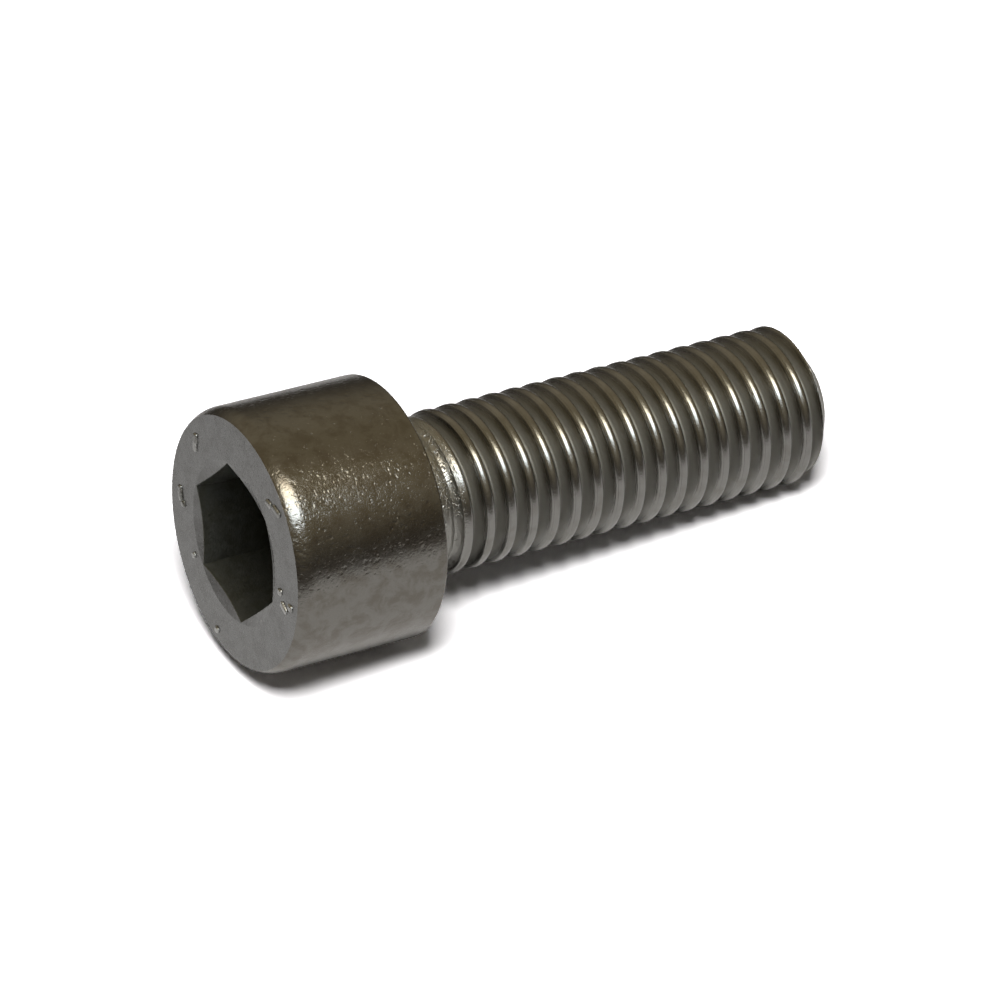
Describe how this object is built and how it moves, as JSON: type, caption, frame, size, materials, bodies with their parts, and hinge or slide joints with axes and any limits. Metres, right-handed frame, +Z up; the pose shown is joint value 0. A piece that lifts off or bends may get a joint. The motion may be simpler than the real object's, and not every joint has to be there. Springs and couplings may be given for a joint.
{
  "type": "hex socket cap screw",
  "caption": "Metric socket head cap screw lying on its side: round head with a rounded edge and a hexagon socket, short neck, right-hand thread to a flat chamfered point.",
  "frame": {"origin": "middle of the footprint of the whole screw, on the surface it lies on", "axes": "+X from the head towards the point, +Y to the side, +Z up; the screw's own axis lies in the XZ plane and slopes down towards the point by 6.28 degrees"},
  "size_m": [0.0404, 0.016, 0.0168],
  "materials": {
    "bright_steel": "satin, lightly pitted"
  },
  "bodies": {
    "root": {"cap_screw": "bright_steel"}
  },
  "joints": []
}
